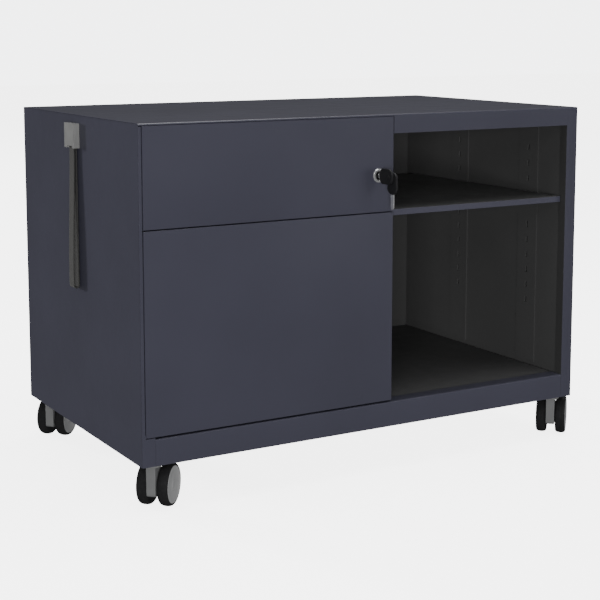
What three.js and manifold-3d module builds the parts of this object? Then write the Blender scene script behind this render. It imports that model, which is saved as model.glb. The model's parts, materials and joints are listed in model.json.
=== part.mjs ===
// Mobile filing caddy: a steel cabinet on four twin-wheel casters, with a box drawer over a
// filing drawer on the left, an open compartment with one shelf on the right, a cylinder lock
// with two keys, and a webbing pull strap on the left side.
// Units are millimetres, +Z is up, the front faces -Y. The cabinet is drawn from its front left
// bottom corner; the last lines move the origin to the middle of the footprint, on the floor.

import * as THREE from 'three';
import { mergeVertices } from 'three/addons/utils/BufferGeometryUtils.js';
import Module from 'manifold-3d';

const wasm = await Module();
wasm.setup();

// ---- driving dimensions ----
const WIDTH = 800;
const DEPTH = 470;
const HEIGHT = 495;            // steel body, without the casters
const RIDE_HEIGHT = 72;        // floor to the underside of the body
const SHEET = 1.2;             // steel sheet
const FIT = 0.3;               // gap between pieces that touch
const BEND = 3;                // outer radius of the top panel's front bend
const EDGE = 2;                // outer radius of the upright front corners
const FRONT_EDGE = 1.2;        // rounding of the drawer fronts

const POST_LEFT = 21;          // width of the front posts
const POST_RIGHT = 23;
const PLINTH = 40;             // height of the front plinth rail
const FASCIA = 30;             // height of the rail over the open compartment
const RECESS = 20;             // the front flanges stand this far behind the front face

const DRAWER_LEFT = 6.5;
const DRAWER_RIGHT = 429.3;
const DRAWER_SPLIT = 343.2;    // height of the gap between the drawer fronts
const DRAWER_GAP = 1.4;
const FRONT_THICK = 18;
const TRAY_BACK = 438;
const UPPER_TRAY = [354, 450]; // bottom and top of each tray
const LOWER_TRAY = [52, 300];

const DIVIDER = 428;           // right face of the divider
const SHELF_TOP = 345;
const SHELF_LIP = 9.5;
const SLOT_PITCH = 26.7;
const SLOT_COLUMNS = [98, 295];

const SLIDE_DEEP = 12.6;       // thickness of a slide, from the support to the tray
const SLIDE_SPAN = [32, 440];
const UPPER_SLIDE = { height: 34, level: 382 };
const LOWER_SLIDE = { height: 42, level: 176 };

const LOCK = { x: 402, z: 401 };
const LOCK_FLANGE = 11;
const KEY = { head: 34, width: 24, thick: 3.6, hole: 7.5, blade: 8 };
const SPARE_OFFSET = 5;

const STRAP = { y: 236, width: 20, thick: 1.6, pivot: 446, bottom: 226 };
const CLIP = { y: [218.3, 257.7], z: [444.2, 482], proud: 9.8 };

const WHEEL = { radius: 32.5, hub: 28, inner: 7.9, outer: 24.7, trail: 24, sides: 24 };
const CASTER_HEADING = 45;     // direction of the trail, degrees from +X towards +Y
const CASTER_INSET = { side: 25.5, front: 22, back: 29 };

// ---- finishes ----
function finish(color, roughness, metalness) {
  return new THREE.MeshStandardMaterial({ color, roughness, metalness });
}

const PAINT = finish(0x3e3e48, 0.5, 0.1);
const INNER_PAINT = finish(0x2c2c2f, 0.6, 0.1);
const ZINC = finish(0x9a9da0, 0.4, 0.8);
const CHROME = finish(0xd8d8d8, 0.12, 1);
const BLACK_PLASTIC = finish(0x17171a, 0.45, 0);
const GREY_PLASTIC = finish(0x77797c, 0.5, 0);
const WEBBING = finish(0x4a4b4c, 0.9, 0);
const TYRE = finish(0x202124, 0.7, 0);

// ---- solids ----
function toManifold(geometry) {
  const bare = geometry.index ? geometry.toNonIndexed() : geometry.clone();
  bare.deleteAttribute('normal');
  bare.deleteAttribute('uv');
  const merged = mergeVertices(bare, 1e-4);
  return new wasm.Manifold(new wasm.Mesh({
    numProp: 3,
    vertProperties: new Float32Array(merged.attributes.position.array),
    triVerts: new Uint32Array(merged.index.array),
  }));
}

function fromManifold(solid) {
  const mesh = solid.getMesh();
  const geometry = new THREE.BufferGeometry();
  geometry.setAttribute('position', new THREE.BufferAttribute(new Float32Array(mesh.vertProperties), 3));
  geometry.setIndex(new THREE.BufferAttribute(new Uint32Array(mesh.triVerts), 1));
  return geometry;
}

function union(...parts) {
  return fromManifold(parts.map(toManifold).reduce((a, b) => a.add(b)));
}

function cut(body, ...tools) {
  return fromManifold(tools.map(toManifold).reduce((a, b) => a.subtract(b), toManifold(body)));
}

function box([x0, x1], [y0, y1], [z0, z1]) {
  const geometry = new THREE.BoxGeometry(x1 - x0, y1 - y0, z1 - z0);
  return geometry.translate((x0 + x1) / 2, (y0 + y1) / 2, (z0 + z1) / 2);
}

const shapeOf = (points) => new THREE.Shape(points.map(([x, y]) => new THREE.Vector2(x, y)));

// Outline in X and Z, pushed along +Y from y0 to y1.
function alongY(shape, [y0, y1], curveSegments = 6) {
  const geometry = new THREE.ExtrudeGeometry(shape, { depth: y1 - y0, bevelEnabled: false, curveSegments });
  return geometry.rotateX(Math.PI / 2).translate(0, y1, 0);
}

// Outline in Y and Z, pushed along +X from x0 to x1.
function alongX(shape, [x0, x1], curveSegments = 6) {
  const geometry = new THREE.ExtrudeGeometry(shape, { depth: x1 - x0, bevelEnabled: false, curveSegments });
  return geometry.rotateY(Math.PI / 2).rotateX(Math.PI / 2).translate(x0, 0, 0);
}

// Outline in X and Y, pushed up from z0 to z1.
function alongZ(shape, [z0, z1], curveSegments = 6) {
  const geometry = new THREE.ExtrudeGeometry(shape, { depth: z1 - z0, bevelEnabled: false, curveSegments });
  return geometry.translate(0, 0, z0);
}

// A turned ring whose axis is Y: outline points are [radius, y].
function turned(profile, sides, x = 0, z = 0) {
  const closed = [...profile, profile[0]].map(([r, y]) => new THREE.Vector2(r, y));
  return new THREE.LatheGeometry(closed, sides).translate(x, 0, z);
}

const cabinet = new THREE.Group();

function add(name, geometry, material, parent = cabinet) {
  const mesh = new THREE.Mesh(geometry, material);
  mesh.name = name;
  parent.add(mesh);
  return mesh;
}

// ---- steel carcass ----
const roof = HEIGHT - SHEET - FIT;
const compartmentRight = WIDTH - POST_RIGHT;
const leftFlange = 12;
const rightFlange = DIVIDER - 12;

// Flat side sheet: its top front corner follows the inside of the top panel's bend.
function sideSheet(spanX) {
  const insideBend = BEND - SHEET - FIT;
  const outline = new THREE.Shape();
  outline.moveTo(0, 0);
  outline.lineTo(0, HEIGHT - BEND - FIT);
  outline.lineTo(BEND - insideBend, HEIGHT - BEND - FIT);
  outline.absarc(BEND, HEIGHT - BEND, insideBend, Math.PI, Math.PI / 2, true);
  outline.lineTo(DEPTH - SHEET - FIT, roof);
  outline.lineTo(DEPTH - SHEET - FIT, HEIGHT - 12);
  outline.lineTo(DEPTH, HEIGHT - 12);
  outline.lineTo(DEPTH, 0);
  return alongX(outline, spanX, 3);
}

// What is cut away to round an upright front corner. "inward" is the direction from it along X.
function cornerRound(x, inward) {
  const outline = new THREE.Shape();
  outline.moveTo(x - inward, -1);
  outline.lineTo(x + inward * EDGE, -1);
  outline.lineTo(x + inward * EDGE, 0);
  for (let step = 1; step < 4; step += 1) {
    const angle = (step / 4) * (Math.PI / 2);
    outline.lineTo(x + inward * EDGE * (1 - Math.sin(angle)), EDGE * (1 - Math.cos(angle)));
  }
  outline.lineTo(x, EDGE);
  outline.lineTo(x - inward, EDGE);
  return alongZ(outline, [-1, HEIGHT + 1]);
}

// The foot of the left post ends just under the drawer front, and a tongue runs up beside it.
function sidePanelLeft() {
  const hem = 5;
  const foot = PLINTH + 1.9;
  const panel = union(
    sideSheet([0, SHEET]),
    box([0, hem], [0, 8], [PLINTH - SHEET, roof - BEND]),
    box([0, DRAWER_LEFT - 0.5], [0, SHEET], [0, PLINTH + 8]),
    box([0, POST_LEFT], [0, SHEET], [0, foot]),
    box([0, POST_LEFT], [0, RECESS + SHEET], [foot - SHEET, foot]),
    box([0, leftFlange], [RECESS, RECESS + SHEET], [foot - SHEET, roof]),
    box([0, 15], [DEPTH - SHEET, DEPTH], [0, HEIGHT - 12]),
  );
  return cut(panel, cornerRound(0, 1));
}

function sidePanelRight() {
  const panel = union(
    sideSheet([WIDTH - SHEET, WIDTH]),
    box([compartmentRight, WIDTH], [0, SHEET], [0, HEIGHT - BEND - FIT]),
    box([compartmentRight, compartmentRight + SHEET], [0, 16], [SHEET + FIT, HEIGHT - BEND - FIT]),
    box([WIDTH - 15, WIDTH], [DEPTH - SHEET, DEPTH], [0, HEIGHT - 12]),
  );
  return cut(panel, cornerRound(WIDTH, -1));
}

// The top's front edge bends down: a short lip over the drawers, a deep rail over the opening.
function topPanel() {
  const section = new THREE.Shape();
  section.moveTo(0, HEIGHT - BEND);
  section.absarc(BEND, HEIGHT - BEND, BEND, Math.PI, Math.PI / 2, true);
  section.lineTo(DEPTH, HEIGHT);
  section.lineTo(DEPTH, HEIGHT - 11);
  section.lineTo(DEPTH - SHEET, HEIGHT - 11);
  section.lineTo(DEPTH - SHEET, HEIGHT - SHEET);
  section.lineTo(BEND, HEIGHT - SHEET);
  section.absarc(BEND, HEIGHT - BEND, BEND - SHEET, Math.PI / 2, Math.PI, false);
  const railSpan = [DRAWER_RIGHT + 0.7, compartmentRight - 0.1];
  const panel = union(
    alongX(section, [0, WIDTH], 5),
    box(railSpan, [0, SHEET], [HEIGHT - FASCIA, HEIGHT - BEND + 0.2]),
    box(railSpan, [0, 16], [HEIGHT - FASCIA, HEIGHT - FASCIA + SHEET]),
  );
  return cut(panel, cornerRound(0, 1), cornerRound(WIDTH, -1));
}

function plinthRail() {
  const bend = 2.5;
  const rail = new THREE.Shape();
  rail.moveTo(0, 0);
  rail.lineTo(0, PLINTH - bend);
  rail.absarc(bend, PLINTH - bend, bend, Math.PI, Math.PI / 2, true);
  rail.lineTo(25, PLINTH);
  rail.lineTo(25, PLINTH - SHEET);
  rail.lineTo(bend, PLINTH - SHEET);
  rail.absarc(bend, PLINTH - bend, bend - SHEET, Math.PI / 2, Math.PI, false);
  rail.lineTo(SHEET, 0);
  const whole = alongX(rail, [POST_LEFT + FIT, compartmentRight - FIT], 3);
  const besideLeftFlange = box([0, POST_LEFT + 6], [SHEET + 2, 30], [PLINTH - 5, PLINTH + 1]);
  return cut(whole, besideLeftFlange);
}

const stems = [];
for (const [side, x] of [['left', CASTER_INSET.side], ['right', WIDTH - CASTER_INSET.side]]) {
  for (const [end, y] of [['front', CASTER_INSET.front], ['back', DEPTH - CASTER_INSET.back]]) {
    stems.push({ name: `caster_${end}_${side}`, x, y });
  }
}

function basePanel() {
  const spanX = [SHEET + FIT, WIDTH - SHEET - FIT];
  const spanY = [SHEET + FIT, DEPTH - SHEET - FIT];
  const upturn = 14;
  const hole = new THREE.CylinderGeometry(6, 6, 10, 16).rotateX(Math.PI / 2);
  const stemHole = ({ x, y }) => hole.clone().translate(x, y, 0);
  const pan = union(
    box(spanX, spanY, [0, SHEET]),
    box([spanX[0], spanX[0] + SHEET], [30, 440], [0, upturn]),
    box([spanX[1] - SHEET, spanX[1]], [30, 440], [0, upturn]),
  );
  return cut(pan, ...stems.map(stemHole));
}

// Columns of slots that hold the shelf at the height wanted.
function slots(spanX) {
  const tools = [];
  for (const y of SLOT_COLUMNS) {
    for (let i = 0; i < 11; i += 1) {
      const z = 154 + i * SLOT_PITCH;
      tools.push(box(spanX, [y - 2.5, y + 2.5], [z - 5, z + 5]));
    }
  }
  return tools;
}

function dividerPanel() {
  const sheet = union(
    box([DIVIDER - SHEET, DIVIDER], [RECESS, DEPTH - SHEET - FIT], [SHEET + FIT, roof]),
    box([rightFlange, DIVIDER], [RECESS, RECESS + SHEET], [PLINTH + FIT, roof]),
    box([DIVIDER - 14, DIVIDER], [DEPTH - 2 * SHEET - FIT, DEPTH - SHEET - FIT], [PLINTH, roof]),
  );
  const aroundPlinth = box([DIVIDER - 2, DIVIDER + 1], [0, 25 + FIT], [0, PLINTH + FIT]);
  return cut(sheet, aroundPlinth, ...slots([DIVIDER - 3, DIVIDER + 1]));
}

const linerFace = compartmentRight + 1.5;
const ribProud = 2;

// Covers the right wall, with a pressed rib along each column of slots, and the back.
function compartmentLiner() {
  const back = DEPTH - SHEET - FIT;
  const spanZ = [PLINTH - 0.6, roof];
  const wall = box([linerFace, linerFace + SHEET], [17, back], spanZ);
  const backLeaf = box([DIVIDER + FIT, linerFace + SHEET], [back - SHEET, back], spanZ);
  const ribX = [linerFace - ribProud, linerFace + SHEET];
  const rib = (y) => box(ribX, [y - 25, y + 25], [PLINTH + 6, HEIGHT - FASCIA - 4]);
  return cut(union(wall, backLeaf, ...SLOT_COLUMNS.map(rib)), ...slots([linerFace - 5, linerFace + 5]));
}

// A shallow channel that carries the drawer slides, open towards the panel behind it.
function runnerSupport([web, back]) {
  const out = Math.sign(back - web);
  const spanY = [48, 424];
  const outline = shapeOf([
    [web, spanY[0]], [web, spanY[1]], [back, spanY[1]], [back, spanY[1] - SHEET],
    [web + out * SHEET, spanY[1] - SHEET], [web + out * SHEET, spanY[0] + SHEET],
    [back, spanY[0] + SHEET], [back, spanY[0]],
  ]);
  return alongZ(outline, [60, 440]);
}

add('side_panel_left', sidePanelLeft(), PAINT);
add('side_panel_right', sidePanelRight(), PAINT);
add('top_panel', topPanel(), PAINT);
add('back_panel', box([15 + FIT, WIDTH - 15 - FIT], [DEPTH - SHEET, DEPTH], [FIT, HEIGHT - 12]), PAINT);
add('base_panel', basePanel(), PAINT);
add('plinth_rail', plinthRail(), PAINT);
add('divider_panel', dividerPanel(), INNER_PAINT);
add('compartment_liner', compartmentLiner(), INNER_PAINT);
const floorX = [DIVIDER + FIT, linerFace - FIT];
const floorY = [25 + FIT, DEPTH - 2 * (SHEET + FIT)];
add('compartment_floor', box(floorX, floorY, [PLINTH - 2.2, PLINTH - 1]), INNER_PAINT);
add('runner_support_left', runnerSupport([leftFlange, SHEET + FIT]), ZINC);
add('runner_support_right', runnerSupport([rightFlange, DIVIDER - SHEET - FIT]), ZINC);

// ---- shelf ----
const shelfX = [DRAWER_RIGHT + 0.9, linerFace - ribProud - 0.9];
const shelfY = [11, 440];

// Folded tray, open below: its front lip turns back under to a hem 12 mm wide.
function shelf() {
  const bottom = SHELF_TOP - SHELF_LIP;
  const hollowX = [shelfX[0] + SHEET, shelfX[1] - SHEET];
  const hem = shelfY[0] + 12;
  const hollow = union(
    box(hollowX, [hem, shelfY[1] - SHEET], [bottom - 1, SHELF_TOP - SHEET]),
    box(hollowX, [shelfY[0] + SHEET, hem + 1], [bottom + SHEET, SHELF_TOP - SHEET]),
  );
  return cut(box(shelfX, shelfY, [bottom, SHELF_TOP]), hollow);
}

// Angle under one end of the shelf, with hooks in two slots of the wall beside it.
function shelfSupport(wall, inward) {
  const top = SHELF_TOP - SHELF_LIP - FIT;
  const slot = 154 + 6 * SLOT_PITCH;
  const spanX = (a, b) => [wall + inward * a, wall + inward * b].sort((p, q) => p - q);
  const hook = (y) => box(spanX(0.8, -2.2), [y - 2, y + 2], [slot - 4.2, slot + 3]);
  return union(
    box(spanX(FIT, 14), [70, 325], [top - SHEET, top]),
    box(spanX(FIT, FIT + SHEET), [70, 325], [slot - 8, top]),
    ...SLOT_COLUMNS.map(hook),
  );
}

add('shelf', shelf(), PAINT);
add('shelf_support_left', shelfSupport(DIVIDER, 1), ZINC);
add('shelf_support_right', shelfSupport(linerFace - ribProud, -1), ZINC);

// ---- drawers ----
const trayX = [leftFlange + FIT + SLIDE_DEEP + FIT, rightFlange - FIT - SLIDE_DEEP - FIT];
const upperFrontZ = [DRAWER_SPLIT + DRAWER_GAP / 2, HEIGHT - BEND - 0.5];
const lowerFrontZ = [PLINTH + 2.5, DRAWER_SPLIT - DRAWER_GAP / 2];

// Folded steel front with rounded edges, open at its back.
function drawerFront([z0, z1]) {
  const [x0, x1] = [DRAWER_LEFT + FRONT_EDGE, DRAWER_RIGHT - FRONT_EDGE];
  const face = shapeOf([
    [x0, z0 + FRONT_EDGE], [x1, z0 + FRONT_EDGE], [x1, z1 - FRONT_EDGE], [x0, z1 - FRONT_EDGE],
  ]);
  const bevel = { bevelEnabled: true, bevelSize: FRONT_EDGE, bevelThickness: FRONT_EDGE, bevelSegments: 4 };
  const block = new THREE.ExtrudeGeometry(face, { depth: FRONT_THICK + 2, ...bevel });
  block.rotateX(Math.PI / 2).translate(0, FRONT_THICK + 2 + FRONT_EDGE, 0);
  const behind = box([0, DRAWER_RIGHT + 1], [FRONT_THICK, FRONT_THICK + 9], [z0 - 1, z1 + 1]);
  const hollowX = [DRAWER_LEFT + SHEET, DRAWER_RIGHT - SHEET];
  const hollow = box(hollowX, [SHEET, FRONT_THICK + 1], [z0 + SHEET, z1 - SHEET]);
  return cut(block, behind, hollow);
}

function tray([z0, z1], wall = 1) {
  const spanY = [FRONT_THICK + FIT, TRAY_BACK];
  const outer = box(trayX, spanY, [z0, z1]);
  const hollowX = [trayX[0] + wall, trayX[1] - wall];
  const hollow = box(hollowX, [spanY[0] + wall, spanY[1] - wall], [z0 + wall, z1 + 1]);
  return cut(outer, hollow);
}

function upperTray() {
  const lockNotch = box([LOCK.x - 17, LOCK.x + 20], [0, 34], [LOCK.z - 32, UPPER_TRAY[1] + 1]);
  return cut(tray(UPPER_TRAY), lockNotch);
}

// Angle on the lower tray's right side. The locking bar's hook holds its lug.
const catchLevel = 282;
function drawerCatch() {
  const side = trayX[1] + FIT;
  const plate = box([side, side + 1.6], [28, 48], [catchLevel, catchLevel + 12]);
  const lug = box([side, side + 10.7], [28, 30], [catchLevel, catchLevel + 12]);
  return union(plate, lug);
}

function upperFront() {
  const lockHole = new THREE.CylinderGeometry(9.4, 9.4, 10, 24).translate(LOCK.x, 0, LOCK.z);
  return cut(drawerFront(upperFrontZ), lockHole);
}

add('upper_drawer_front', upperFront(), PAINT);
add('upper_drawer_tray', upperTray(), INNER_PAINT);
add('lower_drawer_front', drawerFront(lowerFrontZ), PAINT);
add('lower_drawer_tray', tray(LOWER_TRAY), INNER_PAINT);
add('lower_drawer_catch', drawerCatch(), ZINC);

// ---- drawer slides ----
// A steel channel seen from its end: a web and two flanges that point along "opens".
function channel(web, flangeTip, halfHeight, level, side) {
  const gauge = Math.sign(flangeTip - web) * SHEET;
  const profile = [
    [web, halfHeight], [flangeTip, halfHeight], [flangeTip, halfHeight - SHEET],
    [web + gauge, halfHeight - SHEET], [web + gauge, SHEET - halfHeight],
    [flangeTip, SHEET - halfHeight], [flangeTip, -halfHeight], [web, -halfHeight],
  ];
  const outline = profile.map(([depth, z]) => [side.base + side.out * depth, level + z]);
  return alongY(shapeOf(outline), SLIDE_SPAN);
}

const slideSides = [
  { name: 'left', base: leftFlange + FIT, out: 1 },
  { name: 'right', base: rightFlange - FIT, out: -1 },
];
for (const side of slideSides) {
  const member = (slide, web, tip, inset) => channel(web, tip, slide.height / 2 - inset, slide.level, side);
  const upper = (web, tip, inset) => member(UPPER_SLIDE, web, tip, inset);
  const lower = (web, tip, inset) => member(LOWER_SLIDE, web, tip, inset);
  add(`upper_slide_outer_${side.name}`, upper(0, 10, 0), ZINC);
  add(`upper_slide_inner_${side.name}`, upper(SLIDE_DEEP, 3, 3), ZINC);
  add(`lower_slide_outer_${side.name}`, lower(0, 9, 0), ZINC);
  add(`lower_slide_middle_${side.name}`, lower(3, 9.5, 3), ZINC);
  add(`lower_slide_inner_${side.name}`, lower(SLIDE_DEEP, 6, 6), ZINC);
}

// ---- lock ----
const camY = [RECESS + SHEET + 0.6, RECESS + SHEET + 3];

function lockBody() {
  const bore = 7.3;
  return turned([[bore, -2.4], [LOCK_FLANGE - 0.6, -2.4], [LOCK_FLANGE, -1.8], [LOCK_FLANGE, -FIT / 2],
    [9, -FIT / 2], [9, 16], [bore, 16]], 24, LOCK.x, LOCK.z);
}

function lockBarrel() {
  const disc = new THREE.Shape().absarc(LOCK.x, LOCK.z, 6.9, 0, 2 * Math.PI, false);
  const keyway = [[-1.5, -4.4], [-1.5, 4.4], [1.5, 4.4], [1.5, -4.4]];
  disc.holes.push(shapeOf(keyway.map(([across, up]) => [LOCK.x + across, LOCK.z + up])));
  return alongY(disc, [-2, camY[0] - FIT], 12);
}

function lockCam() {
  const reach = 22;
  const arm = new THREE.Shape();
  arm.absarc(LOCK.x, LOCK.z, 6.5, -0.2 * Math.PI, 1.2 * Math.PI, false);
  arm.lineTo(LOCK.x - 5, LOCK.z - reach);
  arm.lineTo(LOCK.x + 5, LOCK.z - reach);
  return alongY(arm, camY, 6);
}

// Runs up behind the divider's flange. Turning the lock lifts it, and its hook stops the lower drawer.
function lockingBar() {
  const lift = 8;
  const bar = [417.4, 419.4];
  const behindFlange = camY[1] + 0.6;
  return union(
    box(bar, [behindFlange, 38], [200, 440]),
    box(bar, [camY[0], 38], [LOCK.z + 5.4 - lift, LOCK.z + 11 - lift]),
    box([407, bar[1]], [behindFlange, 27.4], [catchLevel - 4 - lift, catchLevel + 4 - lift]),
  );
}

// Flat key in a plane of its own, with [along, across] points. The hole is near the far end of its head.
function keyHead() {
  const half = KEY.width / 2;
  const shape = new THREE.Shape();
  shape.moveTo(0, -5);
  shape.lineTo(5, -half + 1.5);
  shape.quadraticCurveTo(7, -half, 10, -half);
  shape.lineTo(KEY.head - 10, -half);
  shape.absarc(KEY.head - 10, -half + 10, 10, -Math.PI / 2, 0, false);
  shape.absarc(KEY.head - 10, half - 10, 10, 0, Math.PI / 2, false);
  shape.lineTo(10, half);
  shape.quadraticCurveTo(7, half, 5, half - 1.5);
  shape.lineTo(0, 5);
  const hole = new THREE.Path().absarc(KEY.head - KEY.hole, 0, 2.1, 0, 2 * Math.PI, true);
  shape.holes.push(hole);
  return new THREE.ExtrudeGeometry(shape, { depth: KEY.thick, bevelEnabled: false, curveSegments: 4 });
}

function keyBlade(length) {
  const half = KEY.blade / 2;
  const tip = [[-length + 2, half], [-length, half - 2.5], [-length, -half + 2]];
  const points = [[-FIT, -half], [-FIT, half], ...tip];
  const bites = 4;
  for (let i = 0; i < bites; i += 1) {
    const at = -length + 3 + i * 4;
    const depth = 0.8 + 0.7 * (i % 2);
    points.push([at, -half], [at + 1, -half + depth], [at + 2.2, -half + depth], [at + 3.2, -half]);
  }
  return new THREE.ExtrudeGeometry(shapeOf(points), { depth: 2, bevelEnabled: false });
}

// Puts a flat key piece in the upright plane x = plane: "along" runs to -Y or, when it hangs, up.
function placeKey(geometry, plane, thick, hangs, y, z) {
  geometry.rotateX(Math.PI / 2);
  geometry.rotateZ(-Math.PI / 2);
  geometry.translate(thick / 2, 0, 0);
  if (hangs) geometry.rotateX(-Math.PI / 2);
  return geometry.translate(plane, y, z);
}

const keyStart = -4;
const linkY = keyStart - KEY.head + KEY.hole;
const spareX = LOCK.x + SPARE_OFFSET;
const spareBottom = LOCK.z - KEY.head + KEY.hole;
const bladeLength = 23;

function keyLink() {
  const ends = [LOCK.x - KEY.thick / 2 - 1.4, spareX + KEY.thick / 2 + 1.4];
  const rivet = [
    [0, ends[0]], [2.6, ends[0]], [3, ends[0] + 0.5], [3, ends[0] + 1.1], [1.5, ends[0] + 1.1],
    [1.5, ends[1] - 1.1], [3, ends[1] - 1.1], [3, ends[1] - 0.5], [2.6, ends[1]], [0, ends[1]],
  ];
  const profile = rivet.map(([r, along]) => new THREE.Vector2(r, along));
  return new THREE.LatheGeometry(profile, 16).rotateZ(-Math.PI / 2).translate(0, linkY, LOCK.z);
}

add('lock_body', lockBody(), CHROME);
add('lock_barrel', lockBarrel(), CHROME);
add('lock_cam', lockCam(), ZINC);
add('locking_bar', lockingBar(), ZINC);
add('key_head', placeKey(keyHead(), LOCK.x, KEY.thick, false, keyStart, LOCK.z), BLACK_PLASTIC);
add('key_blade', placeKey(keyBlade(bladeLength - 4), LOCK.x, 2, false, keyStart, LOCK.z), CHROME);
add('key_link', keyLink(), BLACK_PLASTIC);
add('spare_key_head', placeKey(keyHead(), spareX, KEY.thick, true, linkY, spareBottom), BLACK_PLASTIC);
add('spare_key_blade', placeKey(keyBlade(bladeLength), spareX, 2, true, linkY, spareBottom), CHROME);

// ---- pull strap ----
const pinX = -4;

// Block on the side panel. The strap's pin crosses its mouth, which is open below and in front.
function strapClip() {
  const back = -FIT;
  const block = box([-CLIP.proud, back], CLIP.y, CLIP.z);
  const mouthY = [STRAP.y - STRAP.width / 2 - 1.2, STRAP.y + STRAP.width / 2 + 1.2];
  const mouth = box([pinX - 3.5, -0.8], mouthY, [CLIP.z[0] - 1, STRAP.pivot + 3.4]);
  const relief = box([-CLIP.proud - 1, pinX], mouthY, [CLIP.z[0] - 1, STRAP.pivot + 1.6]);
  const pin = new THREE.CylinderGeometry(1.1, 1.1, STRAP.width + 6, 12);
  return union(cut(block, mouth, relief), pin.translate(pinX, STRAP.y, STRAP.pivot));
}

// The strap's loop seen from its edge: narrow round the pin, wide at the bottom fold.
function strapLoop(offset) {
  const radius = STRAP.thick / 2 + 1.3;
  const bottomRadius = 4;
  const bottom = { x: -6.2, z: STRAP.bottom + bottomRadius + STRAP.thick / 2 };
  const points = [];
  const arc = (cx, cz, r, from, to, steps) => {
    for (let i = 0; i <= steps; i += 1) {
      const angle = THREE.MathUtils.degToRad(from + ((to - from) * i) / steps);
      points.push([cx + (r + offset) * Math.cos(angle), cz + (r + offset) * Math.sin(angle)]);
    }
  };
  arc(pinX, STRAP.pivot, radius, 0, 180, 6);
  points.push([-4.9 - offset, STRAP.pivot - 9]);
  points.push([-6.4 - offset, 370]);
  points.push([-8.6 - offset, 300]);
  arc(bottom.x, bottom.z, bottomRadius, 180, 360, 8);
  points.push([-2.1 + offset, 300]);
  points.push([-2.0 + offset, 370]);
  points.push([-2.2 + offset, STRAP.pivot - 9]);
  return points;
}

function pullStrap() {
  const loop = shapeOf(strapLoop(STRAP.thick / 2));
  loop.holes.push(shapeOf(strapLoop(-STRAP.thick / 2).reverse()));
  return alongY(loop, [STRAP.y - STRAP.width / 2, STRAP.y + STRAP.width / 2]);
}

add('strap_clip', strapClip(), GREY_PLASTIC);
add('pull_strap', pullStrap(), WEBBING);

// ---- casters ----
// Each is drawn with its stem at the origin, its trail along +X and its axle along Y.
function casterHousing() {
  const { trail, radius, inner } = WHEEL;
  const top = RIDE_HEIGHT - 1.2;
  const cheek = new THREE.Shape();
  cheek.moveTo(-9, top);
  cheek.lineTo(-9, 26);
  cheek.quadraticCurveTo(-9, 20.5, -3, 20.5);
  cheek.lineTo(trail, 20.5);
  cheek.absarc(trail, radius, 12, -Math.PI / 2, Math.PI / 4, false);
  cheek.lineTo(12, top);
  const half = inner - 0.6;
  const axle = new THREE.CylinderGeometry(3.4, 3.4, 2 * WHEEL.outer - 6, 12).translate(trail, 0, radius);
  const boss = new THREE.CylinderGeometry(9, 9, 4.5, 20).rotateX(Math.PI / 2).translate(0, 0, top - 2.4);
  const stem = new THREE.CylinderGeometry(5, 5, 40, 12).rotateX(Math.PI / 2).translate(0, 0, 88);
  return union(alongY(cheek, [-half, half], 6), axle, boss, stem);
}

function tyre() {
  const { radius, hub, inner, outer } = WHEEL;
  const bore = hub + FIT;
  const middle = (inner + outer) / 2;
  const profile = [[bore, inner], [radius - 2.6, inner], [radius - 0.6, inner + 2.6], [radius, middle],
    [radius - 0.6, outer - 2.6], [radius - 2.6, outer], [bore, outer]];
  return turned(profile, WHEEL.sides);
}

function hub() {
  const { inner, outer } = WHEEL;
  const bore = 4.1;
  const capThick = 2;
  const profile = [[0, outer - capThick], [bore, outer - capThick], [bore, inner + 0.3],
    [WHEEL.hub, inner + 0.3], [WHEEL.hub, outer - 0.8], [WHEEL.hub - 0.8, outer], [0, outer]];
  return new THREE.LatheGeometry(profile.map(([r, y]) => new THREE.Vector2(r, y)), WHEEL.sides);
}

for (const { name, x, y } of stems) {
  const caster = new THREE.Group();
  caster.position.set(x, y, -RIDE_HEIGHT);
  caster.rotation.z = THREE.MathUtils.degToRad(CASTER_HEADING);
  cabinet.add(caster);
  add(`${name}_housing`, casterHousing(), GREY_PLASTIC, caster);
  for (const [side, turn] of [['a', 0], ['b', Math.PI]]) {
    const wheel = new THREE.Group();
    wheel.position.set(WHEEL.trail, 0, WHEEL.radius);
    wheel.rotation.z = turn;
    caster.add(wheel);
    add(`${name}_tyre_${side}`, tyre(), TYRE, wheel);
    add(`${name}_hub_${side}`, hub(), GREY_PLASTIC, wheel);
  }
}

// ---- origin: middle of the footprint, on the floor ----
const extent = new THREE.Box3().setFromObject(cabinet, true);
const middle = extent.getCenter(new THREE.Vector3());
cabinet.position.set(-middle.x, -middle.y, RIDE_HEIGHT);

export default cabinet;
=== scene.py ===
"""Mobile filing caddy in Blender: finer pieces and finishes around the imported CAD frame."""

import json
import math

import bmesh
import bpy
from mathutils import Matrix, Vector


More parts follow.
